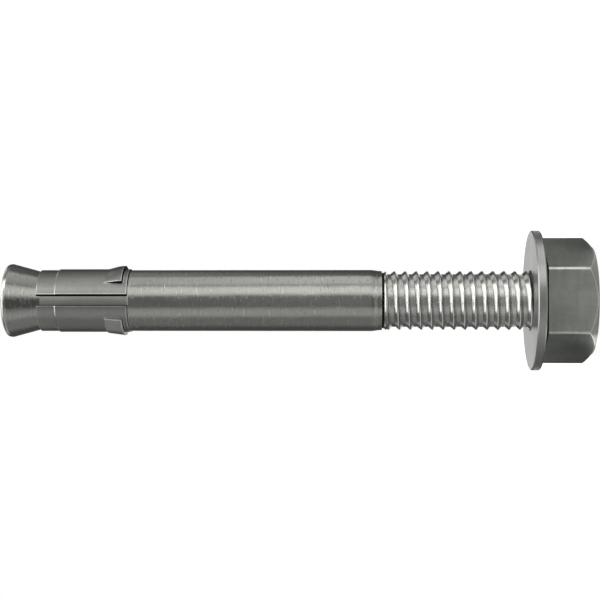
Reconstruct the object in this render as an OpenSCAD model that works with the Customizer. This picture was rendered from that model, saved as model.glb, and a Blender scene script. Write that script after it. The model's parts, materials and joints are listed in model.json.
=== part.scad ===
// Nail anchor: a cone bolt with an expansion clip on its neck, a plain washer and a hex nut.
// It stands on its nut. Z runs along the bolt, from the nut's outer face at z = 0 up to the cone.
// The clip's seam and one flat of the nut face -Y. Sizes are in millimetres.

/* [Nut] */
// Size across the nut's flats
nut_across_flats = 10; // [9:0.1:11]
// Height of the nut
nut_height = 4.75; // [3.5:0.05:8]
// How far the round edge of the outer face lies inside the flats
nut_face_inset = 0.17; // [0.05:0.01:0.6]
// Slope of the corner chamfer, measured from the outer face
nut_chamfer_angle = 42; // [20:1:50]
// Width of the countersink at each end of the nut's hole
nut_countersink = 0.35; // [0.1:0.05:0.8]
// Radial room between the nut's hole and the stud
nut_clearance = 0.05; // [0.02:0.01:0.2]

/* [Washer] */
// Outside diameter of the washer
washer_d = 12.8; // [11:0.1:20]
// Thickness of the washer
washer_thickness = 0.8; // [0.5:0.05:2]
// Bevel on the washer's outer edges
washer_bevel = 0.1; // [0.02:0.01:0.2]
// Radial room between the washer's hole and the stud
washer_clearance = 0.05; // [0.02:0.01:0.5]

/* [Stud] */
// Outside diameter of the threaded stud
stud_d = 5.4; // [4.5:0.1:5.6]
// Free length of the stud between the washer and the shoulder
stud_free_length = 13.28; // [5:0.02:40]
// Chamfer on the stud's end, below the thread
stud_end_chamfer = 0.1; // [0.05:0.05:0.5]

/* [Thread] */
// Distance from one ridge of the thread to the next
thread_pitch = 1; // [0.8:0.05:1.5]
// Depth of the thread
thread_depth = 0.28; // [0.1:0.01:0.4]
// Length of each sloping side of a ridge, along the stud
thread_flank = 0.33; // [0.15:0.01:0.39]
// Plain groove between the thread and the shoulder, and the shortest at the stud's end
thread_relief = 0.1; // [0.05:0.05:1]

/* [Shank] */
// Diameter of the plain shank
shank_d = 5.64; // [5.3:0.02:6.4]
// Length of the shank from the shoulder to the neck
shank_length = 23.4; // [10:0.1:80]
// How much thinner the shoulder's land is than the shank, on the radius
land_drop = 0.1; // [0.02:0.01:0.12]
// Length of the shoulder's land
land_length = 0.53; // [0.1:0.01:1]
// Length of the taper from the land up to the full shank
land_taper = 0.45; // [0.1:0.01:1]
// Rounding of the shank's edge beside the clip
shank_round = 0.12; // [0.02:0.01:0.15]

/* [Neck and cone] */
// Diameter of the neck inside the clip
neck_d = 5.18; // [4:0.02:5.3]
// Largest diameter of the cone, at its rim
cone_d = 6.78; // [6:0.02:8]
// Slope of the cone's side, measured from the axis
cone_half_angle = 15.2; // [8:0.2:25]
// Length of the straight land at the cone's rim
rim_land = 0.14; // [0.1:0.01:0.6]
// Rounding of the cone's end edge
rim_round = 0.4; // [0.05:0.01:0.6]

/* [Clip] */
// Length of the clip
clip_length = 8.3; // [5:0.1:16]
// Thickness of the clip's sheet
clip_sheet = 0.288; // [0.25:0.01:0.5]
// Radial room between the clip and the neck, and between the clip's lip and the cone
clip_clearance = 0.03; // [0.02:0.01:0.1]
// Gap between the shank and the clip
clip_end_gap = 0.05; // [0.02:0.01:0.3]
// Length of the clip's lip that lies over the cone's foot
clip_lip_overlap = 0.3; // [0.05:0.05:0.5]
// Bevel on the outside of the lip
clip_lip_bevel = 0.05; // [0.02:0.01:0.08]
// Length of the slimmer lead at the clip's lip
clip_lead_length = 1.7; // [0.5:0.05:3]
// How much slimmer the lead is, on the radius
clip_lead_drop = 0.08; // [0.02:0.01:0.1]
// Width of the seam that runs along the clip
clip_seam = 1; // [0.4:0.05:2]

/* [Barbs] */
// Angle of the clip's round that each barb covers
barb_sweep = 110; // [40:1:130]
// Length of each barb, from its bend to its free end
barb_length = 1.65; // [0.6:0.05:2.6]
// How far each barb's free end stands out from the clip
barb_lift = 0.31; // [0.1:0.01:0.45]
// Height of the band of clip that is left below the barbs
barb_band = 0.42; // [0.2:0.01:1]
// Gap between each barb's free end and the band
barb_end_gap = 0.05; // [0.02:0.01:0.3]
// Width of the cut along each barb's sides
barb_kerf = 0.08; // [0.03:0.01:0.3]

/* [Hidden] */
$fn = 96;

// How far a cutting shape runs past what it cuts
cut_past = 0.5;
// Straight steps in a rounded edge, and in a barb's curve
edge_steps = 5;
barb_steps = 8;

// Radii
stud_r = stud_d / 2;
thread_root_r = stud_r - thread_depth;
shank_r = shank_d / 2;
land_r = shank_r - land_drop;
neck_r = neck_d / 2;
cone_r = cone_d / 2;
washer_r = washer_d / 2;
washer_hole_r = stud_r + washer_clearance;
nut_hole_r = stud_r + nut_clearance;
nut_corner_r = nut_across_flats / 2 / cos(30);
nut_face_r = nut_across_flats / 2 - nut_face_inset;
clip_inner_r = neck_r + clip_clearance;
clip_r = clip_inner_r + clip_sheet;
clip_lead_r = clip_r - clip_lead_drop;
clip_lip_r = clip_inner_r + clip_lip_overlap * tan(cone_half_angle);

// Heights, from the nut's outer face up to the cone's end
washer_z = nut_height;
washer_face_z = washer_z + washer_thickness;
shoulder_z = washer_face_z + stud_free_length;
shank_top_z = shoulder_z + shank_length;
clip_z = shank_top_z + clip_end_gap;
barb_end_z = clip_z + barb_band + barb_end_gap;
barb_bend_z = barb_end_z + barb_length;
clip_top_z = clip_z + clip_length;
clip_lead_z = clip_top_z - clip_lead_length;
cone_foot_z = clip_top_z - clip_lip_overlap;
rim_z = cone_foot_z + (cone_r - neck_r) / tan(cone_half_angle);
cone_top_z = rim_z + rim_land + rim_round;

// The thread is drawn as rings, from the groove at the shoulder down to the stud's end
last_ridge_z = shoulder_z - thread_relief - thread_flank;
lowest_ridge_z = stud_end_chamfer + thread_relief + thread_flank;
thread_ridges = floor((last_ridge_z - lowest_ridge_z) / thread_pitch) + 1;
first_ridge_z = last_ridge_z - (thread_ridges - 1) * thread_pitch;

// The lip's bevel takes no more than half of what the lip has left of its sheet
lip_bevel = min(clip_lip_bevel, (clip_lead_r - clip_lip_r) / 2);
barb_cut_angle = barb_sweep + 2 * barb_kerf / clip_r * 180 / PI;

// Points of a quarter round that turns from pointing outward to pointing up
function quarter_round(centre, radius) =
    [for (i = [0:edge_steps]) centre + radius * [cos(90 * i / edge_steps), sin(90 * i / edge_steps)]];

// Section of one ridge of the thread, with its crest at the given height
function ridge(crest_z) = [
    [thread_root_r, crest_z - thread_flank],
    [stud_r, crest_z],
    [thread_root_r, crest_z + thread_flank],
];

// How far a barb stands out at a share of the way from its bend to its free end
function barb_rise(share) = barb_lift * sin(90 * share);

// One long side of a barb's section, lifted from the clip's wall of the given radius
function barb_side(wall_r) =
    [for (i = [0:barb_steps])
        let (share = i / barb_steps)
        [wall_r + barb_rise(share), barb_bend_z - share * barb_length]];

// Points of a list in the other order
function reversed(points) = [for (i = [len(points) - 1:-1:0]) points[i]];

// Turned in one piece: threaded stud, shank, neck and cone
module anchor_bolt() {
    color([0.62, 0.63, 0.61])
    rotate_extrude()
    polygon(concat(
        [
            [0, 0],
            [thread_root_r - stud_end_chamfer, 0],
            [thread_root_r, stud_end_chamfer],
        ],
        [for (i = [0:thread_ridges - 1]) each ridge(first_ridge_z + i * thread_pitch)],
        [
            [thread_root_r, shoulder_z],
            [land_r, shoulder_z],
            [land_r, shoulder_z + land_length],
            [shank_r, shoulder_z + land_length + land_taper],
        ],
        quarter_round([shank_r - shank_round, shank_top_z - shank_round], shank_round),
        [
            [neck_r, shank_top_z],
            [neck_r, cone_foot_z],
            [cone_r, rim_z],
        ],
        quarter_round([cone_r - rim_round, rim_z + rim_land], rim_round),
        [[0, cone_top_z]]
    ));
}

// Wall of the clip before its cuts: a sleeve with a slimmer lead and a lip that opens over the cone.
// It is turned from -Y round to -Y, so that the revolve begins and ends in the seam.
module clip_wall() {
    rotate([0, 0, -90])
    rotate_extrude()
    polygon([
        [clip_inner_r, clip_z],
        [clip_r, clip_z],
        [clip_r, clip_lead_z - clip_lead_drop],
        [clip_lead_r, clip_lead_z],
        [clip_lead_r, clip_top_z - lip_bevel],
        [clip_lead_r - lip_bevel, clip_top_z],
        [clip_lip_r, clip_top_z],
        [clip_inner_r, cone_foot_z],
    ]);
}

// Seam along the clip, open from the neck outward on the -Y side
module clip_seam_cut() {
    translate([-clip_seam / 2, -clip_r - cut_past, clip_z - cut_past])
    cube([clip_seam, clip_r + cut_past, clip_length + 2 * cut_past]);
}

// Window that is lanced in the wall for one barb, centred on +X
module barb_window() {
    rotate([0, 0, -barb_cut_angle / 2])
    rotate_extrude(angle = barb_cut_angle)
    translate([clip_inner_r - cut_past, clip_z + barb_band])
    square([clip_sheet + 2 * cut_past, barb_end_gap + barb_length]);
}

// One barb, centred on +X: the lanced strip, bent out along a curve towards its free end
module barb() {
    rotate([0, 0, -barb_sweep / 2])
    rotate_extrude(angle = barb_sweep)
    polygon(concat(barb_side(clip_r), reversed(barb_side(clip_inner_r))));
}

// Rolled from one strip of sheet, with a seam along it and two barbs opposite each other
module expansion_clip() {
    color([0.56, 0.58, 0.55])
    union() {
        difference() {
            clip_wall();
            clip_seam_cut();
            for (turn = [0, 180]) rotate([0, 0, turn]) barb_window();
        }
        for (turn = [0, 180]) rotate([0, 0, turn]) barb();
    }
}

// Plain round washer with bevelled edges
module washer() {
    color([0.68, 0.69, 0.67])
    rotate_extrude()
    polygon([
        [washer_hole_r, washer_z],
        [washer_r - washer_bevel, washer_z],
        [washer_r, washer_z + washer_bevel],
        [washer_r, washer_face_z - washer_bevel],
        [washer_r - washer_bevel, washer_face_z],
        [washer_hole_r, washer_face_z],
    ]);
}

// Round blank that gives the nut its chamfered corners and its countersunk hole
module nut_round() {
    reach_r = nut_corner_r + cut_past;
    reach_z = (reach_r - nut_face_r) * tan(nut_chamfer_angle);
    rotate_extrude()
    polygon([
        [nut_hole_r + nut_countersink, 0],
        [nut_face_r, 0],
        [reach_r, reach_z],
        [reach_r, nut_height],
        [nut_hole_r + nut_countersink, nut_height],
        [nut_hole_r, nut_height - nut_countersink],
        [nut_hole_r, nut_countersink],
    ]);
}

// Hex nut, chamfered on its outer face only, with corners on the X axis
module hex_nut() {
    color([0.5, 0.52, 0.49])
    intersection() {
        cylinder(r = nut_corner_r, h = nut_height, $fn = 6);
        nut_round();
    }
}

anchor_bolt();
expansion_clip();
washer();
hex_nut();
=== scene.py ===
import json
import math

import bmesh
import bpy
import numpy as np
from mathutils import Matrix, Vector


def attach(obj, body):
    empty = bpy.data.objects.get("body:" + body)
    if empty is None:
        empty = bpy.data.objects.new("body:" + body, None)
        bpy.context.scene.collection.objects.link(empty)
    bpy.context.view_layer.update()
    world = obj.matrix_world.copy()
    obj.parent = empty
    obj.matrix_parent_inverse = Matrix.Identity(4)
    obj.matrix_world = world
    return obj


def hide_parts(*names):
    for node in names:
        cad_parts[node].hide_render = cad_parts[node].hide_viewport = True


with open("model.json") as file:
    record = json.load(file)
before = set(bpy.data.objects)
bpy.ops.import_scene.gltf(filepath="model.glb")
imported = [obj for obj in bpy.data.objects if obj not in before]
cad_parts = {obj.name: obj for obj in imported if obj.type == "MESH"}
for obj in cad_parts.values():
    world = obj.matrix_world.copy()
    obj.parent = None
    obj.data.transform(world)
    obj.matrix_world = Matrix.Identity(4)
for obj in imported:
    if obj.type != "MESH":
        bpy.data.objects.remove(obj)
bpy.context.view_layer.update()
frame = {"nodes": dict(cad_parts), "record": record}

# Lengths in this script are in millimetres, and MM turns them into the scene's metres
MM = 0.001
# Two measured lengths closer than this are the same, and so are two calculated ones closer than TINY
SAME = 0.003
TINY = 1e-6
# Half of the angle that one flat takes up round the nut, in degrees
HALF_FLAT = 30
# The clip is clear of its seam within this many degrees of the +X side
CLEAR_OF_SEAM = 80


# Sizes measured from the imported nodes

def polar(node):
    """Radius, angle in degrees and height of each vertex of a CAD node."""
    points = np.array([v.co for v in frame["nodes"][node].data.vertices]) / MM
    angle = np.degrees(np.arctan2(points[:, 1], points[:, 0]))
    return np.hypot(points[:, 0], points[:, 1]), angle, points[:, 2]


def near(values, value):
    """Which values are the given one, as measured."""
    return np.abs(values - value) < SAME


def longest_stretch(radii, heights):
    """The radius that is kept over the greatest height, and where that stretch starts and ends."""
    stretches = []
    for radius in radii:
        held = heights[near(radii, radius)]
        stretches.append((held.max() - held.min(), radius, held.min(), held.max()))
    return max(stretches)[1:]


nut_rs, _, nut_zs = polar("hex_nut")
washer_rs, _, washer_zs = polar("washer")
bolt_rs, _, bolt_zs = polar("anchor_bolt")
clip_rs, clip_angles, clip_zs = polar("expansion_clip")

nut_height = nut_zs.max()
nut_corner_r = nut_rs.max()
nut_flat_r = nut_corner_r * math.cos(math.radians(HALF_FLAT))
nut_hole_r = nut_rs.min()
nut_mouth_r = nut_rs[near(nut_zs, 0)].min()
nut_face_r = nut_rs[near(nut_zs, 0)].max()
nut_corner_z = nut_zs[near(nut_rs, nut_corner_r)].min()

washer_z = washer_zs.min()
washer_face_z = washer_zs.max()
washer_r = washer_rs.max()
washer_hole_r = washer_rs.min()

stud_r = bolt_rs[bolt_zs < washer_face_z].max()
stud_end_r = bolt_rs[near(bolt_zs, 0)].max()
shoulder_z = bolt_zs[bolt_rs > stud_r + SAME].min()
on_thread = (bolt_zs > washer_face_z) & (bolt_zs < shoulder_z - SAME)
thread_root_r = bolt_rs[on_thread].min()
thread_depth = stud_r - thread_root_r
# The nut's turn in radians for each metre of travel gives the thread's pitch
nut_turn_rate = frame["record"]["behaviour"]["couplings"][0]["ratio"]
pitch = 2 * math.pi / nut_turn_rate / MM
land_r = bolt_rs[near(bolt_zs, shoulder_z)].max()
below_clip = bolt_zs < clip_zs.min()
shank_r = bolt_rs[below_clip].max()
shank_top_z = bolt_zs[below_clip].max()
neck_r = bolt_rs[near(bolt_zs, shank_top_z)].min()
cone_foot_z = bolt_zs[near(bolt_rs, neck_r)].max()
cone_r = bolt_rs.max()
rim_z = bolt_zs[near(bolt_rs, cone_r)].min()
cone_top_z = bolt_zs.max()
rim_round = cone_top_z - bolt_zs[near(bolt_rs, cone_r)].max()

clip_z = clip_zs.min()
clip_top_z = clip_zs.max()
clip_inner_r = clip_rs.min()
clip_r = clip_rs[near(clip_zs, clip_z)].max()
clip_step_z = clip_zs[near(clip_rs, clip_r)].max()
above_step = clip_zs > clip_step_z + SAME
clip_lead_r, clip_lead_z, clip_lip_z = longest_stretch(clip_rs[above_step], clip_zs[above_step])
clip_lip_r = clip_rs[near(clip_zs, clip_top_z)].min()
clip_lip_outer_r = clip_rs[near(clip_zs, clip_top_z)].max()
on_window = near(clip_rs, clip_r) & (np.abs(clip_angles) < CLEAR_OF_SEAM)
on_window &= (clip_zs > clip_z + SAME) & (clip_zs < clip_step_z - SAME)
band_z = clip_zs[on_window].min()
bend_z = clip_zs[on_window].max()
window_half_sweep = np.abs(clip_angles[on_window]).max()
barb_tip_r = clip_rs.max()
barb_lift = barb_tip_r - clip_r
barb_end_z = clip_zs[near(clip_rs, barb_tip_r)].max()
seam_half_angle = (90 + clip_angles[near(clip_rs, clip_r) & (clip_angles > -90)]).min()


# Sizes that only the looks need

# The thread's crest is a narrow land with a bevel on the cone's side: their lengths along the bolt, and the
# bevel's depth
CREST_LAND = 0.04
CREST_BEVEL = 0.08
CREST_BEVEL_DEPTH = 0.03
# The flank on the cone's side is straight, with an extra row of the mesh at this share of it
FLANK_ABOVE = 0.3
FLANK_SUPPORT = 0.1
# The flank on the nut's side runs into the root in a curve of this power, in so many rows
FLANK_BELOW = 0.25
FLANK_CURVE = 1.3
FLANK_ROWS = 4
# A crest passes the +X side at this height
CREST_Z = 11.95
# The thread ends in a ridge beside a dark groove at the shoulder: how far below the shoulder's edge the
# ridge starts and has its crest, and how far above it the groove's bottom starts and ends
RIDGE_START = 0.23
RIDGE_CREST = 0.08
GROOVE_START = 0.14
GROOVE_END = 0.27
GROOVE_DEPTH = 0.15
GROOVE_EDGE_ROUND = 0.04
# Smooth rise from the shoulder's land to the shank: how far above the groove it starts, its length and its
# radii
RISE_START = 0.26
RISE_LENGTH = 0.6
RISE_ROUND = 3
SHANK_END_ROUND = 0.05
RIM_EDGE_ROUND = 0.08
TURNED_SEGMENTS = 144
# Steps of the arcs that round an edge, and of those on turned pieces
ARC_STEPS = 4
TURNED_ARC_STEPS = 5

NUT_EDGE_ROUND = 0.3
NUT_CHAMFER_ROUND = 0.12
NUT_RIM_ROUND = 0.08
NUT_MOUTH_ROUND = 0.04
NUT_FACE_ROUND = 0.1
# Painted shade: a dark band on the nut's sides, in the corner beside the washer
NUT_SHADE_WIDTH = 0.27
# Columns of the mesh on each rounded edge of the nut, and the widest step between columns on a flat
NUT_EDGE_COLUMNS = 9
NUT_STEP_DEGREES = 4
# A face of the nut is on a flat if it turns no further from it than this. By the height of its normal it is
# upright below the first lean, and on one of the nut's sides below the second
NUT_FLAT_DEGREES = 3
UPRIGHT_LEAN = 0.02
SIDE_LEAN = 0.5
WASHER_CHAMFER = 0.1
WASHER_EDGE_ROUND = 0.02
WASHER_HOLE_ROUND = 0.08
SHARP_ANGLE = math.radians(32)
# Extra rows of the mesh lie this close to each edge, so that shading stays even between edges
SUPPORT = 0.04
# Points closer than this become one, and edges shorter than this go
MERGE_DISTANCE = 0.0005
SHORTEST_EDGE = 0.0002

# The clip's sheared edges: how they are rounded, and how far beside them the extra rows of its mesh lie
CLIP_EDGE_ROUND = 0.035
CLIP_EDGE_SEGMENTS = 3
CLIP_EDGE_ANGLE = math.radians(60)
CLIP_SUPPORT = 0.085
# Strips of the mesh beside a cut get the lighter worn steel, partly wear and partly a painted highlight,
# where they are narrower than this
WORN_HIGHLIGHT_STRIP = 1.2 * CLIP_SUPPORT
# The seam's edge on the +X side stands back by this much, and slants towards the other edge on the inside
SEAM_OPEN = 0.09
SEAM_SLANT = 0.16
# The lead's step is a little longer than in the solid
STEP_LONGER = 0.04
# The slit beside each barb, and the nick at the bend of the barb on the -X side
SLIT = 0.02
NICK_HEIGHT = 0.09
NICK_LENGTH = 0.06
# Cut edges this close to a barb's window belong to it, along the clip and round it
WINDOW_MARGIN = 1
WINDOW_MARGIN_DEGREES = 1
# The barb on the +X side starts to rise softly, over this share of its length
SOFT_BEND = 0.12
CLIP_STEP_DEGREES = 2.5
BARB_STEP = 0.15


# Mesh helpers

def unit(vector):
    return vector / np.linalg.norm(vector)


def arc(before, here, after, rounding, steps):
    """Points of the arc that rounds the corner here, between its neighbours before and after."""
    back = unit(before - here)
    on = unit(after - here)
    half_angle = math.acos(np.clip(back @ on, -1, 1)) / 2
    reach = rounding / math.tan(half_angle)
    centre = here + unit(back + on) * rounding / math.sin(half_angle)
    start = here + back * reach - centre
    end = here + on * reach - centre
    turn = math.pi - 2 * half_angle
    points = []
    for share in np.linspace(0, 1, steps + 1):
        first = math.sin((1 - share) * turn) / math.sin(turn)
        second = math.sin(share * turn) / math.sin(turn)
        points.append(centre + first * start + second * end)
    return points


def soften(corners, steps=ARC_STEPS, closed=False):
    """Profile through corners given as (radius, height, rounding), with support points beside each edge."""
    places = [np.array(corner[:2], float) for corner in corners]
    count = len(corners)
    bends = []
    for i, (_, _, rounding) in enumerate(corners):
        at_end = not closed and i in (0, count - 1)
        if rounding == 0 or at_end:
            bends.append([places[i]])
        else:
            bends.append(arc(places[i - 1], places[i], places[(i + 1) % count], rounding, steps))
    profile = []
    for i, bend in enumerate(bends):
        profile += bend
        if closed or i + 1 < count:
            stretch = bends[(i + 1) % count][0] - bend[-1]
            share = min(SUPPORT / max(np.linalg.norm(stretch), SUPPORT), 1 / 3)
            profile += [bend[-1] + share * stretch, bend[-1] + (1 - share) * stretch]
    return np.array(profile)


def spin(angles, profiles, closed):
    """Points and faces of a turned shape: one profile of (radius, height) at each angle in degrees."""
    rows = len(profiles[0])
    points = [
        (r * math.cos(math.radians(angle)), r * math.sin(math.radians(angle)), z)
        for angle, profile in zip(angles, profiles)
        for r, z in profile
    ]
    faces = []
    for column in range(len(angles)):
        here = column * rows
        there = (column + 1) % len(angles) * rows
        for row in range(rows if closed else rows - 1):
            up = (row + 1) % rows
            faces.append((here + row, there + row, there + up, here + up))
    return points, faces


def make_piece(name, points, faces, body, node, materials, marks=None):
    """A mesh that stands for a CAD node and rides on its body. Marks give each face's material."""
    mesh = bpy.data.meshes.new(name)
    mesh.from_pydata([Vector(p) * MM for p in points], [], faces)
    for material in materials:
        mesh.materials.append(material)
    if marks:
        mesh.polygons.foreach_set("material_index", marks)
    work = bmesh.new()
    work.from_mesh(mesh)
    bmesh.ops.remove_doubles(work, verts=work.verts, dist=MERGE_DISTANCE * MM)
    bmesh.ops.dissolve_degenerate(work, edges=work.edges, dist=SHORTEST_EDGE * MM)
    bmesh.ops.recalc_face_normals(work, faces=work.faces)
    work.to_mesh(mesh)
    work.free()
    mesh.shade_smooth()
    mesh.set_sharp_from_angle(angle=SHARP_ANGLE)
    piece = bpy.data.objects.new(name, mesh)
    bpy.context.scene.collection.objects.link(piece)
    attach(piece, body)
    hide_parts(node)
    return piece


# Material helpers

def add_node(tree, kind, inputs=None, **settings):
    """A new node with its settings made and its inputs set, or linked where a socket is given."""
    made = tree.nodes.new(kind)
    for name, value in settings.items():
        setattr(made, name, value)
    for name, value in (inputs or {}).items():
        if isinstance(value, bpy.types.NodeSocket):
            tree.links.new(value, made.inputs[name])
        else:
            made.inputs[name].default_value = value
    return made


def new_material(name):
    """An empty node material, its tree and its output node."""
    material = bpy.data.materials.new(name)
    material.use_nodes = True
    tree = material.node_tree
    tree.nodes.clear()
    return material, tree, add_node(tree, "ShaderNodeOutputMaterial")


def noise(tree, place, stretch, detail=4, roughness=0.6):
    """Noise stretched by so many features per metre along X, Y and Z."""
    mapped = add_node(tree, "ShaderNodeMapping", {"Vector": place, "Scale": stretch})
    return add_node(
        tree,
        "ShaderNodeTexNoise",
        {"Vector": mapped.outputs["Vector"], "Scale": 1.0, "Detail": detail, "Roughness": roughness},
    ).outputs["Fac"]


def ranged(tree, value, low, high, to_low, to_high, smooth=False):
    """A value taken from one range to another, and held within it."""
    return add_node(
        tree,
        "ShaderNodeMapRange",
        {"Value": value, "From Min": low, "From Max": high, "To Min": to_low, "To Max": to_high},
        interpolation_type="SMOOTHSTEP" if smooth else "LINEAR",
    ).outputs["Result"]


def calculate(tree, operation, *values):
    """The result of one Math node."""
    return add_node(
        tree, "ShaderNodeMath", dict(enumerate(values)), operation=operation
    ).outputs["Value"]


def multiply(tree, first, second):
    return calculate(tree, "MULTIPLY", first, second)


def add(tree, first, second):
    return calculate(tree, "ADD", first, second)


def maximum(tree, first, second):
    return calculate(tree, "MAXIMUM", first, second)


def degrees(tree, angle):
    return calculate(tree, "DEGREES", angle)


# Places of the Mix node's sockets for colours, which share their names with its other sockets
MIX_FACTOR, MIX_FIRST, MIX_SECOND, MIX_RESULT = 0, 6, 7, 2


def tinted(tree, colour, tone):
    """A colour made darker or lighter by a tone of about 1."""
    return add_node(
        tree,
        "ShaderNodeMix",
        {MIX_FACTOR: 1.0, MIX_FIRST: (*colour, 1), MIX_SECOND: tone},
        data_type="RGBA",
        blend_type="MULTIPLY",
    ).outputs[MIX_RESULT]


# Features of each noise per metre, along X, Y and Z
PATCH_STRETCH = (700, 700, 260)
SCRATCH_STRETCH = (1500, 1500, 9000)
PIT_STRETCH = (5200, 5200, 5200)
TICK_STRETCH = (900, 900, 9000)
WAVE_STRETCH = (1200, 1200, 350)
# The part of a noise that counts: its middle for tones, and only its peaks for marks
TONE_PART = (0.3, 0.7)
SCRATCH_PART = (0.62, 0.72)
PIT_PART = (0.64, 0.74)
TICK_PART = (0.66, 0.74)
# Tone of the lines as a share of the patchiness, and of the pits as a share of the wear
LINE_SHARE = 0.6
PIT_SHARE = 0.8
# Least and greatest roughness of the patches as shares of the whole, and what full wear adds
SMOOTH_SHARE = 0.9
ROUGH_SHARE = 1.12
WEAR_ROUGHNESS = 0.3
# A quarter of a turn lays the stretched highlight across the grain
ACROSS_GRAIN = 0.25
# Painted shade in narrow places: its darkest and lightest tone, its least and greatest roughness, and its
# weak gloss
PAINTED_SHADE_TONES = (0.6, 1.5)
PAINTED_SHADE_ROUGHNESS = (0.51, 0.69)
PAINTED_SHADE_GLOSS = 0.1


def steel(
    name, colour, roughness, grain, patchiness, wear, line_depth, anisotropy,
    scratch_depth=2, ticks=0, waves=0,
):
    """Bare steel: patches of tone, fine lines along the grain, short scratches round it and small pits.
    The depths of scratches and waves are given in depths of the lines. Ticks are short light marks."""
    material, tree, output = new_material(name)
    place = add_node(tree, "ShaderNodeTexCoord").outputs["Object"]
    patches = noise(tree, place, PATCH_STRETCH, detail=5)
    lines = noise(tree, place, grain, detail=3)
    scratches = ranged(tree, noise(tree, place, SCRATCH_STRETCH, detail=1), *SCRATCH_PART, 0, 1)
    pits = ranged(tree, noise(tree, place, PIT_STRETCH, detail=2), *PIT_PART, 0, 1)
    tone = ranged(tree, patches, *TONE_PART, 1 - patchiness, 1 + patchiness)
    line_tone = LINE_SHARE * patchiness
    tone = multiply(tree, tone, ranged(tree, lines, *TONE_PART, 1 - line_tone, 1 + line_tone))
    tone = multiply(tree, tone, ranged(tree, scratches, 0, 1, 1, 1 - wear))
    tone = multiply(tree, tone, ranged(tree, pits, 0, 1, 1, 1 - PIT_SHARE * wear))
    marks = ranged(tree, noise(tree, place, TICK_STRETCH, detail=1), *TICK_PART, 0, 1)
    tone = multiply(tree, tone, ranged(tree, marks, 0, 1, 1, 1 + ticks))
    worn = maximum(tree, scratches, pits)
    rough = add(
        tree,
        ranged(tree, patches, *TONE_PART, roughness * SMOOTH_SHARE, roughness * ROUGH_SHARE),
        multiply(tree, worn, WEAR_ROUGHNESS * wear),
    )
    height = calculate(tree, "SUBTRACT", lines, multiply(tree, scratches, scratch_depth))
    height = add(tree, height, multiply(tree, noise(tree, place, WAVE_STRETCH, detail=2), waves))
    bump = add_node(
        tree, "ShaderNodeBump", {"Height": height, "Strength": 1.0, "Distance": line_depth * MM}
    ).outputs["Normal"]
    tangent = add_node(
        tree, "ShaderNodeTangent", direction_type="RADIAL", axis="Z"
    ).outputs["Tangent"]
    shader = add_node(
        tree,
        "ShaderNodeBsdfPrincipled",
        {
            "Base Color": tinted(tree, colour, tone),
            "Metallic": 1.0,
            "Roughness": rough,
            "Anisotropic": anisotropy,
            "Anisotropic Rotation": ACROSS_GRAIN,
            "Normal": bump,
            "Tangent": tangent,
        },
    )
    tree.links.new(shader.outputs["BSDF"], output.inputs["Surface"])
    return material


def painted_shade_material(name, colour):
    """Painted shade for a narrow place: near black and dull, with a mottled tone."""
    material, tree, output = new_material(name)
    place = add_node(tree, "ShaderNodeTexCoord").outputs["Object"]
    mottle = noise(tree, place, PIT_STRETCH, detail=3)
    shader = add_node(
        tree,
        "ShaderNodeBsdfPrincipled",
        {
            "Base Color": tinted(tree, colour, ranged(tree, mottle, *TONE_PART, *PAINTED_SHADE_TONES)),
            "Roughness": ranged(tree, mottle, *TONE_PART, *PAINTED_SHADE_ROUGHNESS),
            "Specular IOR Level": PAINTED_SHADE_GLOSS,
        },
    )
    tree.links.new(shader.outputs["BSDF"], output.inputs["Surface"])
    return material


TURNED_GRAIN = (60, 60, 9000)
SHEET_GRAIN = (500, 500, 2500)
bolt_steel = steel(
    "bolt_turned_steel", (0.56, 0.57, 0.53), roughness=0.18, grain=TURNED_GRAIN, patchiness=0.05, wear=0.2,
    line_depth=0.0012, anisotropy=0.3, scratch_depth=5, ticks=0.35, waves=12,
)
rolled_steel = steel(
    "bolt_rolled_steel", (0.74, 0.75, 0.715), roughness=0.25, grain=TURNED_GRAIN, patchiness=0.16, wear=0.25,
    line_depth=0.003, anisotropy=0.2,
)
neck_steel = steel(
    "bolt_drawn_steel", (0.57, 0.58, 0.54), roughness=0.36, grain=TURNED_GRAIN, patchiness=0.06, wear=0.1,
    line_depth=0.001, anisotropy=0.2,
)
# Painted shade: a dark copy of the thread's steel on the row of the flank next to each crest
shaded_steel = steel(
    "thread_flank_painted_shade", (0.25, 0.254, 0.238), roughness=0.34, grain=TURNED_GRAIN, patchiness=0.1, wear=0.2,
    line_depth=0.003, anisotropy=0.2,
)
# Polished crest, lighter than the rest of the thread: partly polish, partly a painted highlight that keeps
# the thread's stripes white
crest_polish_and_highlight_steel = steel(
    "thread_polished_crest_painted_highlight", (0.85, 0.855, 0.83), roughness=0.2, grain=TURNED_GRAIN, patchiness=0.1,
    wear=0.2, line_depth=0.002, anisotropy=0.2,
)
clip_steel = steel(
    "clip_satin_steel", (0.40, 0.409, 0.38), roughness=0.3, grain=SHEET_GRAIN, patchiness=0.06, wear=0.15,
    line_depth=0.001, anisotropy=0.2,
)
# Lighter worn steel on the clip's edges: partly wear, partly a painted highlight on the lit edges
clip_wear_and_highlight_steel = steel(
    "clip_worn_edge_painted_highlight", (0.78, 0.785, 0.76), roughness=0.3, grain=SHEET_GRAIN, patchiness=0.1, wear=0.1,
    line_depth=0.001, anisotropy=0.0,
)
washer_steel = steel(
    "washer_satin_steel", (0.41, 0.416, 0.397), roughness=0.33, grain=SHEET_GRAIN, patchiness=0.06, wear=0.1,
    line_depth=0.001, anisotropy=0.2,
)
nut_steel = steel(
    "nut_grey_steel", (0.37, 0.388, 0.352), roughness=0.32, grain=SHEET_GRAIN, patchiness=0.13, wear=0.05,
    line_depth=0.0015, anisotropy=0.0,
)
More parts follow.
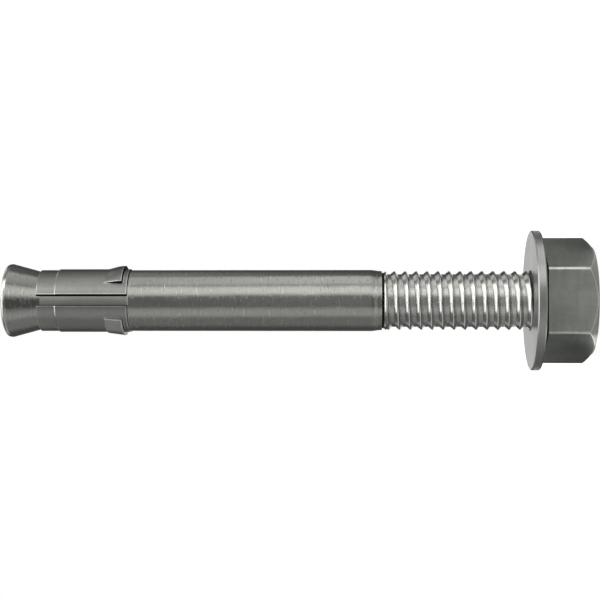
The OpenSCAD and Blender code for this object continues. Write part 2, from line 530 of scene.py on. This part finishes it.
# Lighter worn steel on the nut's rounded edges: partly wear, partly a painted highlight along them
nut_wear_and_highlight_steel = steel(
    "nut_worn_edge_painted_highlight", (0.56, 0.575, 0.545), roughness=0.3, grain=SHEET_GRAIN, patchiness=0.2, wear=0.2,
    line_depth=0.002, anisotropy=0.0,
)
# Painted shade, as near-black dull materials: in the groove at the shoulder, on the clip's cut edges and in
# the nut's corner beside the washer
groove_painted_shade = painted_shade_material("shoulder_groove_painted_shade", (0.008, 0.008, 0.008))
cut_edge_painted_shade = painted_shade_material("clip_cut_edge_painted_shade", (0.006, 0.006, 0.006))
nut_painted_shade = painted_shade_material("nut_corner_painted_shade", (0.02, 0.02, 0.019))

# Places of the bolt's finishes among its materials
BOLT_FINISHES = [bolt_steel, groove_painted_shade, rolled_steel, shaded_steel, crest_polish_and_highlight_steel, neck_steel]
TURNED, GROOVE_SHADE, ROLLED, SHADED, POLISHED_HIGHLIGHT, DRAWN = range(6)


# Bolt: threaded stud, shank, neck and cone, turned in one piece

def thread_phases():
    """Where the rows of the thread lie within one turn, counted in turns upward from the crest's middle."""
    edge = CREST_LAND / 2
    foot_below = pitch - edge - FLANK_BELOW
    flank_below = [foot_below + FLANK_BELOW * i / FLANK_ROWS for i in range(FLANK_ROWS + 1)]
    flank = edge + CREST_BEVEL
    above = [edge, flank, flank + FLANK_SUPPORT * FLANK_ABOVE, flank + FLANK_ABOVE]
    return [height / pitch for height in above + flank_below]


def thread_rises():
    """How far the thread stands out at each of those rows, as shares of its depth."""
    flank = 1 - CREST_BEVEL_DEPTH / thread_depth
    above = [1, flank, (1 - FLANK_SUPPORT) * flank, 0]
    return above + [(i / FLANK_ROWS) ** FLANK_CURVE for i in range(FLANK_ROWS + 1)]


def thread_r(z, share):
    """The thread's radius at a height, at an angle given as a share of a turn."""
    phase = ((z - CREST_Z) / pitch - share) % 1.0
    rise = thread_depth * np.interp(phase, thread_phases(), thread_rises())
    chamfer_r = stud_end_r + z
    return min(thread_root_r + rise, chamfer_r)


def threaded_stud(top_z):
    """Points, faces and finishes of the thread, laid along its helix and cut flat at both ends."""
    phases = thread_phases()
    # The bevel and the crest get the polished steel with its painted highlight, and the flank's last row
    # before the next crest the painted shade
    finishes = [POLISHED_HIGHLIGHT, TURNED, TURNED, ROLLED] + [ROLLED] * (FLANK_ROWS - 1) + [SHADED, POLISHED_HIGHLIGHT]
    first_turn = -math.ceil(CREST_Z / pitch) - 2
    last_turn = math.ceil((top_z - CREST_Z) / pitch) + 1
    rows = [turn + phase for turn in range(first_turn, last_turn + 1) for phase in phases]
    points = []
    for column in range(TURNED_SEGMENTS):
        share = column / TURNED_SEGMENTS
        angle = 2 * math.pi * share
        for row in rows:
            z = min(max(CREST_Z + pitch * (row + share), 0), top_z)
            r = thread_r(z, share)
            points.append((r * math.cos(angle), r * math.sin(angle), z))
    faces, marks = [], []
    count = len(rows)
    for column in range(TURNED_SEGMENTS):
        here = column * count
        there = (column + 1) % TURNED_SEGMENTS * count
        shift = len(phases) if column == TURNED_SEGMENTS - 1 else 0
        for row in range(count - 1 - shift):
            corners = (here + row, there + row + shift, there + row + 1 + shift, here + row + 1)
            heights = [points[corner][2] for corner in corners]
            if max(heights) - min(heights) > TINY:
                faces.append(corners)
                marks.append(finishes[row % len(phases)])
    return points, faces, marks


def build_bolt():
    """The whole bolt, from the stud's end up to the cone."""
    shares = [i / TURNED_SEGMENTS for i in range(TURNED_SEGMENTS)]
    angles = [360 * share for share in shares]
    ridge_low = shoulder_z - RIDGE_START
    ridge_crest = shoulder_z - RIDGE_CREST
    groove_low = shoulder_z + GROOVE_START
    groove_high = shoulder_z + GROOVE_END
    groove_r = stud_r - GROOVE_DEPTH
    rise_low = groove_high + RISE_START
    uppers = [soften([
        (thread_r(ridge_low, share), ridge_low, 0),
        (stud_r, ridge_crest, 0),
        (groove_r, groove_low, 0),
        (groove_r, groove_high, 0),
        (land_r, groove_high, GROOVE_EDGE_ROUND),
        (land_r, rise_low, RISE_ROUND),
        (shank_r, rise_low + RISE_LENGTH, RISE_ROUND),
        (shank_r, shank_top_z, SHANK_END_ROUND),
        (neck_r, shank_top_z, 0),
        (neck_r, cone_foot_z, 0),
        (cone_r, rim_z, RIM_EDGE_ROUND),
        (cone_r, cone_top_z, rim_round),
        (0, cone_top_z, 0),
    ], steps=TURNED_ARC_STEPS) for share in shares]
    stud_end = [(0, 0), (stud_end_r, 0)]
    points, faces, marks = threaded_stud(ridge_low)

    def finish_of(heights):
        """The finish of a turned face that has these heights."""
        # Painted shade in the dark groove at the shoulder
        if min(heights) > groove_low - SAME and max(heights) < groove_high + SAME:
            return GROOVE_SHADE
        if min(heights) > shank_top_z - SAME and max(heights) < cone_foot_z + SAME:
            return DRAWN
        return TURNED

    for profiles in ([stud_end] * len(angles), uppers):
        more_points, more_faces = spin(angles, profiles, closed=False)
        marks += [finish_of([more_points[corner][2] for corner in face]) for face in more_faces]
        faces += [tuple(corner + len(points) for corner in face) for face in more_faces]
        points += more_points
    return make_piece(
        "turned_bolt", points, faces, "bolt", "anchor_bolt", BOLT_FINISHES, marks
    )


# Clip: a rolled strip of sheet with a seam and two lanced barbs

# Places of the clip's finishes among its materials
CLIP_FINISHES = [clip_steel, cut_edge_painted_shade, clip_wear_and_highlight_steel]
SATIN, CUT_SHADE, WORN_HIGHLIGHT = range(3)


def beside_plus_x(angle):
    """Whether a place on the clip lies on the half that has the barb on the +X side."""
    return abs(angle) < 90


def barb_rise(angle, z):
    """How far a barb stands out at a height between its free end and its bend."""
    share = (bend_z - z) / (bend_z - barb_end_z)
    if beside_plus_x(angle):
        eased = share**2 / (share + SOFT_BEND) * (1 + SOFT_BEND)
        return barb_lift * math.sin(math.pi / 2 * eased)
    nick = NICK_HEIGHT * min(1.0, (bend_z - z) / NICK_LENGTH)
    return nick + (barb_lift - NICK_HEIGHT) * share


def spread(low, high, most):
    """Values from low to high, both among them, no more than a step apart."""
    count = max(1, math.ceil((high - low) / most))
    return [low + (high - low) * i / count for i in range(count + 1)]


def with_supports(stops, support):
    """The stops, with another value close beside each wherever there is room."""
    values = []
    for low, high in zip(stops, stops[1:]):
        values.append(low)
        if high - low > 3 * support:
            values += [low + support, high - support]
    return values + stops[-1:]


def build_clip():
    """The clip as one sheet: outer and inner skins joined round every cut edge."""
    slant_angle = math.degrees(SEAM_SLANT / clip_r)
    barb_half_sweep = window_half_sweep - math.degrees(SLIT / clip_r)
    # Angles run once round from the seam's edge on the +X side
    edges = [seam_half_angle - 90 + math.degrees(SEAM_OPEN / clip_r)]
    for barb_angle in (0, 180):
        edges += [barb_angle + side for side in (
            -window_half_sweep, -barb_half_sweep, barb_half_sweep, window_half_sweep)]
    edges.append(270 - seam_half_angle)
    stops = with_supports(edges, math.degrees(CLIP_SUPPORT / clip_r))
    angles = stops[:1]
    for low, high in zip(stops, stops[1:]):
        angles += spread(low, high, CLIP_STEP_DEGREES)[1:]
    heights = [clip_z, clip_z + CLIP_SUPPORT, band_z - CLIP_SUPPORT, band_z]
    heights += [barb_end_z] + spread(barb_end_z + CLIP_SUPPORT, bend_z - NICK_LENGTH, BARB_STEP)
    lead_z = clip_lead_z + STEP_LONGER
    lead_stops = [bend_z, clip_step_z, lead_z, cone_foot_z, clip_lip_z, clip_top_z]
    heights += with_supports(lead_stops, CLIP_SUPPORT)

    def outer_r(z):
        return np.interp(
            z,
            [clip_z, clip_step_z, lead_z, clip_lip_z, clip_top_z],
            [clip_r, clip_r, clip_lead_r, clip_lead_r, clip_lip_outer_r],
        )

    def inner_r(z):
        return np.interp(z, [clip_z, cone_foot_z, clip_top_z], [clip_inner_r, clip_inner_r, clip_lip_r])

    def from_barb(angle):
        return abs((angle + 90) % 180 - 90)

    def on_barb(angle, z):
        return from_barb(angle) < barb_half_sweep + TINY and barb_end_z - SAME < z < bend_z

    def cut_away(angle, z):
        in_window = from_barb(angle) < window_half_sweep and band_z < z < bend_z
        return in_window and (from_barb(angle) > barb_half_sweep or z < barb_end_z)

    columns, rows = len(angles), len(heights)
    points = []
    for outside in (True, False):
        for column, angle in enumerate(angles):
            # The seam's edge on the +X side is sheared at a slant
            lean = slant_angle if column == 0 and not outside else 0
            for z in heights:
                r = outer_r(z) if outside else inner_r(z)
                r += barb_rise(angle, z) if on_barb(angle, z) else 0
                turn = math.radians(angle - lean)
                points.append((r * math.cos(turn), r * math.sin(turn), z))

    def index(column, row, inside):
        return (columns if inside else 0) * rows + column * rows + row

    present = np.ones((columns - 1, rows - 1), bool)
    for column in range(columns - 1):
        for row in range(rows - 1):
            middle_angle = (angles[column] + angles[column + 1]) / 2
            middle_z = (heights[row] + heights[row + 1]) / 2
            present[column, row] = not cut_away(middle_angle, middle_z)

    def is_present(column, row):
        return 0 <= column < columns - 1 and 0 <= row < rows - 1 and present[column, row]

    def skin_finish(column, row):
        """Lighter worn steel on the narrow strips along the cut edges, partly wear and partly a painted
        highlight, and at the nick, where it is a painted highlight; satin steel elsewhere.
        """
        across = math.radians(angles[column + 1] - angles[column]) * clip_r
        along = heights[row + 1] - heights[row]
        beside_cut = not (is_present(column - 1, row) and is_present(column + 1, row))
        below_cut = not (is_present(column, row - 1) and is_present(column, row + 1))
        at_lip = row == rows - 2
        at_nick = not beside_plus_x(angles[column]) and on_barb(angles[column], heights[row])
        at_nick &= near(heights[row + 1], bend_z)
        if beside_cut and across < WORN_HIGHLIGHT_STRIP or below_cut and along < WORN_HIGHLIGHT_STRIP or at_lip or at_nick:
            return WORN_HIGHLIGHT
        return SATIN

    def cut_finish(column, row, seam):
        """Painted shade on the seam's edges and round the barb on the +X side, where shade falls; the
        lighter worn steel round the other barb, as a painted highlight on its lit edges.
        """
        at_window = from_barb(angles[column]) < window_half_sweep + WINDOW_MARGIN_DEGREES
        at_window &= band_z - WINDOW_MARGIN < heights[row] < bend_z
        if seam or at_window and beside_plus_x(angles[column]):
            return CUT_SHADE
        return WORN_HIGHLIGHT if at_window else SATIN

    faces, marks = [], []
    for column, row in zip(*np.nonzero(present)):
        corners = [(column, row), (column + 1, row), (column + 1, row + 1), (column, row + 1)]
        neighbours = [(column, row - 1), (column + 1, row), (column, row + 1), (column - 1, row)]
        faces.append(tuple(index(*corner, False) for corner in corners))
        faces.append(tuple(index(*corner, True) for corner in reversed(corners)))
        marks += [skin_finish(column, row), SATIN]
        for i, (across, along) in enumerate(neighbours):
            if is_present(across, along):
                continue
            start, end = corners[i], corners[(i + 1) % 4]
            faces.append((
                index(*end, False), index(*start, False), index(*start, True), index(*end, True)
            ))
            marks.append(cut_finish(column, row, across in (-1, columns - 1)))
    piece = make_piece(
        "rolled_clip", points, faces, "clip", "expansion_clip",
        CLIP_FINISHES, marks,
    )
    bevel = piece.modifiers.new("sheared edges", "BEVEL")
    bevel.width = CLIP_EDGE_ROUND * MM
    bevel.segments = CLIP_EDGE_SEGMENTS
    bevel.limit_method = "ANGLE"
    bevel.angle_limit = CLIP_EDGE_ANGLE
    return piece


# Washer: a pressed disc with rounded edges

def build_washer():
    """The washer, turned from one profile."""
    angles = [360 * i / TURNED_SEGMENTS for i in range(TURNED_SEGMENTS)]
    profile = soften([
        (washer_hole_r, washer_z, WASHER_HOLE_ROUND),
        (washer_r - WASHER_CHAMFER, washer_z, WASHER_EDGE_ROUND),
        (washer_r, washer_z + WASHER_CHAMFER, WASHER_EDGE_ROUND),
        (washer_r, washer_face_z - WASHER_CHAMFER, WASHER_EDGE_ROUND),
        (washer_r - WASHER_CHAMFER, washer_face_z, WASHER_EDGE_ROUND),
        (washer_hole_r, washer_face_z, WASHER_HOLE_ROUND),
    ], steps=TURNED_ARC_STEPS, closed=True)
    points, faces = spin(angles, [profile] * len(angles), closed=True)
    return make_piece(
        "pressed_washer", points, faces, "washer", "washer", [washer_steel]
    )


# Nut: hexagon with rounded edges, a chamfered outer face and a countersunk hole

# Places of the nut's finishes among its materials: the first is on all faces that have no other
NUT_FINISHES = [nut_steel, nut_wear_and_highlight_steel, nut_painted_shade]
NUT_WORN_HIGHLIGHT, NUT_SHADE = 1, 2


def nut_outline():
    """Angles round the nut and the outline's radius at each, with the six edges rounded."""
    half_flat = math.radians(HALF_FLAT)
    tangent = math.degrees(math.atan((1 - NUT_EDGE_ROUND / nut_flat_r) * math.tan(half_flat)))
    round_centre = (nut_flat_r - NUT_EDGE_ROUND) / math.cos(half_flat)
    flat_stops = with_supports([-tangent, tangent], math.degrees(SUPPORT / nut_flat_r))
    angles, radii = [], []
    for corner in range(0, 360, 2 * HALF_FLAT):
        for off_corner in np.linspace(tangent - HALF_FLAT, HALF_FLAT - tangent, NUT_EDGE_COLUMNS):
            turn = math.radians(off_corner)
            across = round_centre * math.sin(turn)
            angles.append(corner + off_corner)
            radii.append(round_centre * math.cos(turn) + math.sqrt(NUT_EDGE_ROUND**2 - across**2))
        for off_flat in spread(*flat_stops[1:3], NUT_STEP_DEGREES):
            angles.append(corner + HALF_FLAT + off_flat)
            radii.append(nut_flat_r / math.cos(math.radians(off_flat)))
    return angles, radii


def build_nut():
    """The nut, with a profile at each angle of its outline."""
    shade_z = nut_height - NUT_SHADE_WIDTH
    chamfer_slope = nut_corner_z / (nut_corner_r - nut_face_r)
    sink = nut_mouth_r - nut_hole_r
    angles, radii = nut_outline()
    profiles = []
    for r in radii:
        profiles.append(soften([
            (nut_mouth_r, 0, NUT_MOUTH_ROUND),
            (nut_face_r, 0, NUT_FACE_ROUND),
            (r, (r - nut_face_r) * chamfer_slope, NUT_CHAMFER_ROUND),
            (r, shade_z, 0),
            (r, nut_height, NUT_RIM_ROUND),
            (nut_mouth_r, nut_height, NUT_MOUTH_ROUND),
            (nut_hole_r, nut_height - sink, 0),
            (nut_hole_r, sink, 0),
        ], closed=True))
    points, faces = spin(angles, profiles, closed=True)
    piece = make_piece("hexagon_nut", points, faces, "nut", "hex_nut", NUT_FINISHES)
    # Lighter worn steel on the rounded edges between the flats and round the chamfer, partly wear and partly
    # a painted highlight, and painted shade in the corner beside the washer
    chamfer_lean = -1 / math.hypot(1, chamfer_slope)
    for face in piece.data.polygons:
        if math.hypot(face.center.x, face.center.y) <= nut_face_r * MM:
            continue
        lean = face.normal.z
        turn = math.degrees(math.atan2(face.normal.y, face.normal.x))
        off_flat = abs(turn % (2 * HALF_FLAT) - HALF_FLAT)
        on_edge = abs(lean) < UPRIGHT_LEAN and off_flat > NUT_FLAT_DEGREES
        on_chamfer_edge = chamfer_lean + 2 * UPRIGHT_LEAN < lean < -UPRIGHT_LEAN
        if abs(lean) < SIDE_LEAN and face.center.z > shade_z * MM:
            face.material_index = NUT_SHADE
        elif on_edge or on_chamfer_edge:
            face.material_index = NUT_WORN_HIGHLIGHT
    return piece


build_bolt()
build_clip()
build_washer()
build_nut()


# Studio: soft upright panels of light round the object, which metal shows as bands

# For each panel: the angle of its middle in degrees from the camera's side towards +X, half of its width,
# the softness of its edges, and its brightness below the object, level with it and above it
PANELS = [
    (0, 22, 10, (0.08, 0.25, 0.14)),
    (42, 18, 11, (0.77, 1.0, 0.8)),
    (85, 22, 9, (0.37, 0.78, 0.5)),
    (118, 25, 25, (0.11, 0.13, 0.28)),
    (-42, 22, 16, (0.36, 0.43, 0.39)),
    (-82, 36, 25, (0.24, 0.21, 0.17)),
]
BACK_BRIGHTNESS = 0.08
# Elevations at which a panel has its three brightnesses
PANEL_BELOW = -12
PANEL_ABOVE = 9
# How far the panels lean towards -X, in degrees for each degree above or below level
PANEL_LEAN = 0.68


def even(brightness):
    """The same brightness below the object, level with it and above it."""
    return (brightness, brightness, brightness)


def panel_light(tree, turn, rise, panels):
    """Brightness of the panels in a direction given by its angle round the object and its elevation."""
    light = None
    for middle, half_width, fade, (below, level, above) in panels:
        off_middle = calculate(tree, "ABSOLUTE", calculate(tree, "SUBTRACT", turn, middle))
        shape = ranged(tree, off_middle, half_width - fade, half_width + fade, 1, 0, smooth=True)
        brightness = add(
            tree,
            ranged(tree, rise, PANEL_BELOW, 0, below - level, 0),
            ranged(tree, rise, 0, PANEL_ABOVE, level, above),
        )
        panel = multiply(tree, shape, brightness)
        light = maximum(tree, light, panel) if light else panel
    return light


def angle_round(tree, axes):
    """Angle round the object, in degrees from the camera's side towards +X."""
    to_camera_side = multiply(tree, axes["Y"], -1)
    return degrees(tree, calculate(tree, "ARCTAN2", axes["X"], to_camera_side))


def ray_kinds(tree):
    """1 for camera rays, and 1 for rays that come by way of metal or glass."""
    path = add_node(tree, "ShaderNodeLightPath").outputs
    by_mirror = maximum(tree, path["Is Glossy Ray"], path["Is Transmission Ray"])
    return path["Is Camera Ray"], by_mirror


# Floor: a round pale table, white to the camera, that keeps the shadow, and glows with painted light where
# metal reflects it

FLOOR_RADIUS = 70
FLOOR_SEGMENTS = 128
FLOOR_COLOUR = (0.1, 0.1, 0.098, 1)
FLOOR_ROUGHNESS = 0.3
# Glow that makes the floor white to the camera, under the object and at the floor's edge
GLOW_NEAR = 0.89
GLOW_FAR = 1.0
# Painted light that only metal sees on the floor: pools of glow near the object, given as the panels are,
# and the panels further out
NEAR_GLOW = [
    (0, 24, 10, even(0.36)),
    (57, 33, 8, even(1.5)),
    (-50, 18, 8, even(0.35)),
    (-24, 16, 12, even(0.52)),
]
# Right beside the nut the glow is even and only on the camera's side, with a bright patch by one edge that
# paints a glint on the nut's chamfer
CONTACT_GLOW = [
    (0, 75, 25, even(0.45)),
    (-48, 10, 6, even(1.2)),
]
# Distances from the bolt's axis at which one glow passes into the next
CONTACT_GLOW_TO = 8
NEAR_GLOW_FROM = 16
NEAR_GLOW_TO = 26
FAR_GLOW_FROM = 36
# Behind the object metal sees the floor as white, as the camera does
WHITE_FROM_Y = 25
WHITE_FULL_Y = 50


def build_floor():
    """The floor: a disc with its glowing pale material."""
    mesh = bpy.data.meshes.new("floor")
    work = bmesh.new()
    bmesh.ops.create_circle(work, cap_ends=True, segments=FLOOR_SEGMENTS, radius=FLOOR_RADIUS * MM)
    work.to_mesh(mesh)
    work.free()
    material, tree, output = new_material("pale_floor")
    camera_ray, mirror_ray = ray_kinds(tree)
    place = add_node(tree, "ShaderNodeTexCoord").outputs["Object"]
    axes = add_node(tree, "ShaderNodeSeparateXYZ", {"Vector": place}).outputs
    distance = add_node(tree, "ShaderNodeVectorMath", {0: place}, operation="LENGTH").outputs["Value"]
    turn = angle_round(tree, axes)
    far = ranged(tree, distance, NEAR_GLOW_TO * MM, FAR_GLOW_FROM * MM, 0, 1)
    clear = ranged(tree, distance, CONTACT_GLOW_TO * MM, NEAR_GLOW_FROM * MM, 0, 1)
    contact_light = multiply(
        tree, panel_light(tree, turn, 0.0, CONTACT_GLOW), ranged(tree, clear, 0, 1, 1, 0)
    )
    near_light = add(tree, contact_light, multiply(tree, clear, panel_light(tree, turn, 0.0, NEAR_GLOW)))
    far_light = panel_light(tree, turn, 0.0, PANELS)
    white = ranged(tree, axes["Y"], WHITE_FROM_Y * MM, WHITE_FULL_Y * MM, 0, 1)
    # Painted light: the glow that metal reflects from the floor, near and far
    mirrored = add_node(
        tree, "ShaderNodeMix", {"Factor": far, "A": near_light, "B": far_light}, data_type="FLOAT"
    ).outputs["Result"]
    level = ranged(tree, distance, 0, FLOOR_RADIUS * MM, GLOW_NEAR, GLOW_FAR)
    glow = add(
        tree,
        multiply(tree, camera_ray, level),
        multiply(tree, mirror_ray, maximum(tree, mirrored, white)),
    )
    shader = add_node(
        tree,
        "ShaderNodeBsdfPrincipled",
        {
            "Base Color": FLOOR_COLOUR,
            "Roughness": FLOOR_ROUGHNESS,
            "Emission Color": (1, 1, 1, 1),
            "Emission Strength": glow,
        },
    )
    tree.links.new(shader.outputs["BSDF"], output.inputs["Surface"])
    mesh.materials.append(material)
    floor = bpy.data.objects.new("floor", mesh)
    bpy.context.scene.collection.objects.link(floor)


build_floor()


# World: white to the camera, and to everything else the studio's panels, ceiling and white backdrop

# The ceiling's brightness, and the heights between which it fades in. Here and below, places in the studio
# are parts of their distance
CEILING = 2.0
CEILING_FROM = 0.77
CEILING_FULL = 0.82
# The ceiling reaches further down on the +X side
CEILING_TILT = 0.12
# Behind the object it covers only a strip on the +X side, and keeps a share of its brightness elsewhere
CEILING_BACK_X = (0, 0.08)
CEILING_BACK_END_X = (0.42, 0.35)
CEILING_FRONT_Y = (0.15, 0.05)
CEILING_ELSEWHERE = 0.15
# A panel above the level on the -X side, and one high behind the object, each with its brightness and the
# places where it fades in and out
SIDE_PANEL = 0.5
SIDE_PANEL_X = (-0.3, -0.45)
SIDE_PANEL_Y = (0.8, 0.65)
SIDE_PANEL_Z = (0.2, 0.3)
SIDE_PANEL_TOP_Z = (0.62, 0.5)
BACK_PANEL = 0.75
BACK_PANEL_X = (-0.5, -0.35)
BACK_PANEL_Y = (0.25, 0.4)
BACK_PANEL_Z = (0.4, 0.5)
# White backdrop behind the object: half of its width and height, how high its middle is, the softness of its
# edges, and where it fades in behind the object
BACKDROP_HALF_WIDTH = 0.2
BACKDROP_HALF_HEIGHT = 0.24
BACKDROP_RISE = 0.05
BACKDROP_FADE = 0.04
BACKDROP_Y = (0.5, 0.6)


def build_world():
    """The world's light and background."""
    world = bpy.data.worlds.new("studio")
    bpy.context.scene.world = world
    world.use_nodes = True
    tree = world.node_tree
    tree.nodes.clear()
    camera_ray, _ = ray_kinds(tree)
    towards = add_node(tree, "ShaderNodeTexCoord").outputs["Generated"]
    axes = add_node(tree, "ShaderNodeSeparateXYZ", {"Vector": towards}).outputs
    rise = degrees(tree, calculate(tree, "ARCSINE", axes["Z"]))
    lean = multiply(tree, calculate(tree, "ABSOLUTE", rise), PANEL_LEAN)
    turn = add(tree, angle_round(tree, axes), lean)
    panels = maximum(tree, panel_light(tree, turn, rise, PANELS), BACK_BRIGHTNESS)
    height = add(tree, axes["Z"], multiply(tree, axes["X"], CEILING_TILT))
    ceiling = ranged(tree, height, CEILING_FROM, CEILING_FULL, 0, CEILING)
    in_front = ranged(tree, axes["Y"], *CEILING_FRONT_Y, 0, 1)
    on_plus_x = multiply(
        tree,
        ranged(tree, axes["X"], *CEILING_BACK_X, 0, 1),
        ranged(tree, axes["X"], *CEILING_BACK_END_X, 0, 1),
    )
    covered = maximum(tree, maximum(tree, in_front, on_plus_x), CEILING_ELSEWHERE)
    ceiling = multiply(tree, ceiling, covered)

    def panel(brightness, *fades):
        """Light that fades in along each axis named, from one place to another."""
        light = brightness
        for axis, (start, full) in fades:
            light = multiply(tree, light, ranged(tree, axes[axis], start, full, 0, 1))
        return light

    side_panel = panel(
        SIDE_PANEL, ("X", SIDE_PANEL_X), ("Y", SIDE_PANEL_Y), ("Z", SIDE_PANEL_Z), ("Z", SIDE_PANEL_TOP_Z)
    )
    back_panel = panel(BACK_PANEL, ("X", BACK_PANEL_X), ("Y", BACK_PANEL_Y), ("Z", BACK_PANEL_Z))
    high_panels = maximum(tree, side_panel, back_panel)

    def within(value, middle, half):
        """1 within half a width of the middle, and 0 outside."""
        offset = calculate(tree, "ABSOLUTE", calculate(tree, "SUBTRACT", value, middle))
        return ranged(tree, offset, half, half + BACKDROP_FADE, 1, 0)

    across = within(axes["X"], 0, BACKDROP_HALF_WIDTH)
    upward = within(axes["Z"], BACKDROP_RISE, BACKDROP_HALF_HEIGHT)
    behind = ranged(tree, axes["Y"], *BACKDROP_Y, 0, 1)
    backdrop = multiply(tree, multiply(tree, across, upward), behind)
    studio = maximum(tree, maximum(tree, panels, high_panels), maximum(tree, ceiling, backdrop))
    shown = add_node(
        tree, "ShaderNodeMix", {"Factor": camera_ray, "A": studio, "B": 1.0}, data_type="FLOAT"
    ).outputs["Result"]
    background = add_node(tree, "ShaderNodeBackground", {"Color": (1, 1, 1, 1), "Strength": shown})
    output = add_node(tree, "ShaderNodeOutputWorld")
    tree.links.new(background.outputs["Background"], output.inputs["Surface"])


build_world()


# Key lamp: a soft box high in front of the object, on the +X side

KEY_PLACE = (170, -120, 190)
KEY_SIZE = (120, 120)
KEY_BRIGHTNESS = 2.2


def add_lamp(name, place, target, size, brightness):
    """A rectangular lamp, with its brightness as the white that it shows."""
    lamp = bpy.data.lights.new(name, "AREA")
    lamp.shape = "RECTANGLE"
    lamp.size = size[0] * MM
    lamp.size_y = size[1] * MM
    lamp.energy = brightness * math.pi * lamp.size * lamp.size_y
    holder = bpy.data.objects.new(name, lamp)
    holder.location = Vector(place) * MM
    holder.rotation_mode = "QUATERNION"
    holder.rotation_quaternion = (Vector(target) - Vector(place)).to_track_quat("-Z", "Y")
    holder.visible_camera = False
    bpy.context.scene.collection.objects.link(holder)


add_lamp("key_lamp", KEY_PLACE, (0, 0, cone_top_z / 2), KEY_SIZE, KEY_BRIGHTNESS)


# Camera: level with the shank, looking along +Y and turned on its side, so that the cone points left

# Focal length, width of the sensor, and the nearest distance that the camera sees
LENS = 85
SENSOR_WIDTH = 36
NEAREST = 5
CAMERA_DISTANCE = 130.6
CAMERA_RISE_DEGREES = 2.54
# The point that the camera looks at
TARGET_X = 0.05
TARGET_BELOW_MIDDLE = 0.254


def build_camera():
    """The camera, at the photograph's angle."""
    lens = bpy.data.cameras.new("camera")
    lens.lens = LENS
    lens.sensor_width = SENSOR_WIDTH
    lens.clip_start = NEAREST * MM
    camera = bpy.data.objects.new("camera", lens)
    bpy.context.scene.collection.objects.link(camera)
    rise = math.radians(CAMERA_RISE_DEGREES)
    forward = Vector((0, math.cos(rise), math.sin(rise)))
    right = Vector((0, math.sin(rise), -math.cos(rise)))
    up = right.cross(forward)
    target = Vector((TARGET_X, 0, cone_top_z / 2 - TARGET_BELOW_MIDDLE))
    turned = Matrix((right, up, -forward)).transposed().to_4x4()
    camera.matrix_world = Matrix.Translation((target - forward * CAMERA_DISTANCE) * MM) @ turned
    bpy.context.scene.camera = camera


build_camera()
bpy.context.scene.view_settings.view_transform = "Standard"
